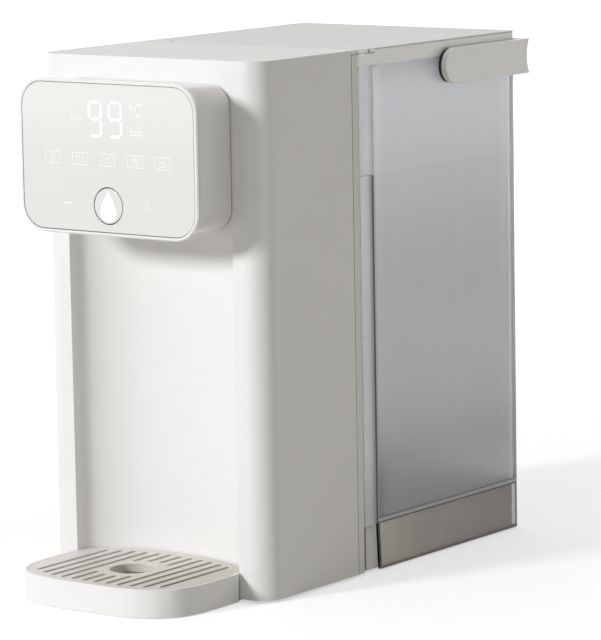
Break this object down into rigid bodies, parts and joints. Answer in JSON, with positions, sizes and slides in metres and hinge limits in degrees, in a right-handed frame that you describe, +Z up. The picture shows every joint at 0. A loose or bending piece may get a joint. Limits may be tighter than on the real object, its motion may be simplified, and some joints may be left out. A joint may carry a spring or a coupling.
{
  "type": "instant hot water dispenser",
  "caption": "Countertop instant hot water dispenser with a concave cup niche, glass-fronted control head, slotted drip tray and a lift-off rear water tank with a hinged lid and bail handle.",
  "frame": {"origin": "centre of the overall box, at the height of the table", "axes": "+X to the right seen from the front, +Y from the front to the back, +Z up"},
  "size_m": [0.1684, 0.3247, 0.3],
  "materials": {
    "white_plastic": "satin white moulding",
    "glass_panel": "white back-printed glass",
    "beige_plastic": "fine-grained warm grey moulding",
    "clear_plastic": "polished smoked clear moulding",
    "dark_plastic": "matt black moulding",
    "rubber": "matt black rubber",
    "silicone": "milky silicone",
    "steel": "plain stainless steel",
    "circuit_board": "green solder mask"
  },
  "bodies": {
    "main_unit": {"front_shell": "white_plastic", "rear_housing": "white_plastic", "tank_base": "white_plastic", "base_plate": "dark_plastic", "front_left_foot": "rubber", "front_right_foot": "rubber", "rear_left_foot": "rubber", "rear_right_foot": "rubber", "front_left_base_screw": "steel", "front_right_base_screw": "steel", "rear_left_base_screw": "steel", "rear_right_base_screw": "steel", "head_housing": "white_plastic", "touch_glass": "glass_panel", "display_board": "circuit_board", "display_module": "dark_plastic", "key_light_bar": "silicone", "button_switch": "dark_plastic", "button_sleeve": "dark_plastic", "spout": "steel", "spout_nut": "steel", "left_head_screw": "steel", "right_head_screw": "steel", "pump_bracket": "steel", "pump_motor": "steel", "pump_head": "dark_plastic", "heater_tube": "steel", "heater_lower_cap": "dark_plastic", "heater_upper_cap": "dark_plastic", "heater_bracket": "dark_plastic", "thermal_cutout": "steel", "temperature_sensor": "steel", "power_board": "circuit_board", "inlet_hose": "silicone", "transfer_hose": "silicone", "outlet_hose": "silicone", "display_cable": "rubber", "mains_gland": "rubber", "valve_socket": "dark_plastic", "socket_seal": "rubber"},
    "dispense_button": {"dispense_button": "white_plastic"},
    "drip_tray": {"drip_tray": "white_plastic"},
    "drip_grille": {"drip_grille": "white_plastic"},
    "tank": {"tank_body": "clear_plastic", "tank_collar": "beige_plastic", "hinge_strip": "white_plastic", "lid_hinge_pin": "steel", "left_handle_pin": "beige_plastic", "right_handle_pin": "beige_plastic", "tank_valve_body": "beige_plastic", "valve_spring": "steel", "tank_strainer": "beige_plastic"},
    "tank_lid": {"tank_lid": "white_plastic"},
    "tank_handle": {"tank_handle": "beige_plastic"},
    "valve_plunger": {"valve_plunger": "beige_plastic", "valve_seal": "rubber"}
  },
  "joints": [
    {"name": "button_press", "type": "slide", "parent": "main_unit", "child": "dispense_button", "axis": [0, 1, 0], "range_m": [0, 0.0012], "stiffness_N_per_m": 1000},
    {"name": "tray_slide", "type": "slide", "parent": "main_unit", "child": "drip_tray", "axis": [0, -1, 0], "range_m": [0, 0.1]},
    {"name": "grille_lift", "type": "slide", "parent": "drip_tray", "child": "drip_grille", "axis": [0, 0, 1], "range_m": [0, 0.03]},
    {"name": "tank_lift", "type": "slide", "parent": "main_unit", "child": "tank", "axis": [0, 0, 1], "range_m": [0, 0.3]},
    {"name": "lid_hinge", "type": "hinge", "parent": "tank", "child": "tank_lid", "pos_m": [0, 0.0072, 0.2986], "axis": [1, 0, 0], "range_deg": [0, 85]},
    {"name": "handle_hinge", "type": "hinge", "parent": "tank", "child": "tank_handle", "pos_m": [0, 0.0852, 0.2847], "axis": [1, 0, 0], "range_deg": [0, 100]},
    {"name": "plunger_slide", "type": "slide", "parent": "tank", "child": "valve_plunger", "axis": [0, 0, 1], "range_m": [-0.0025, 0], "deforming": ["valve_spring"]}
  ],
  "couplings": [
    {"joint": "plunger_slide", "follows": "tank_lift", "ratio": -0.008333}
  ]
}
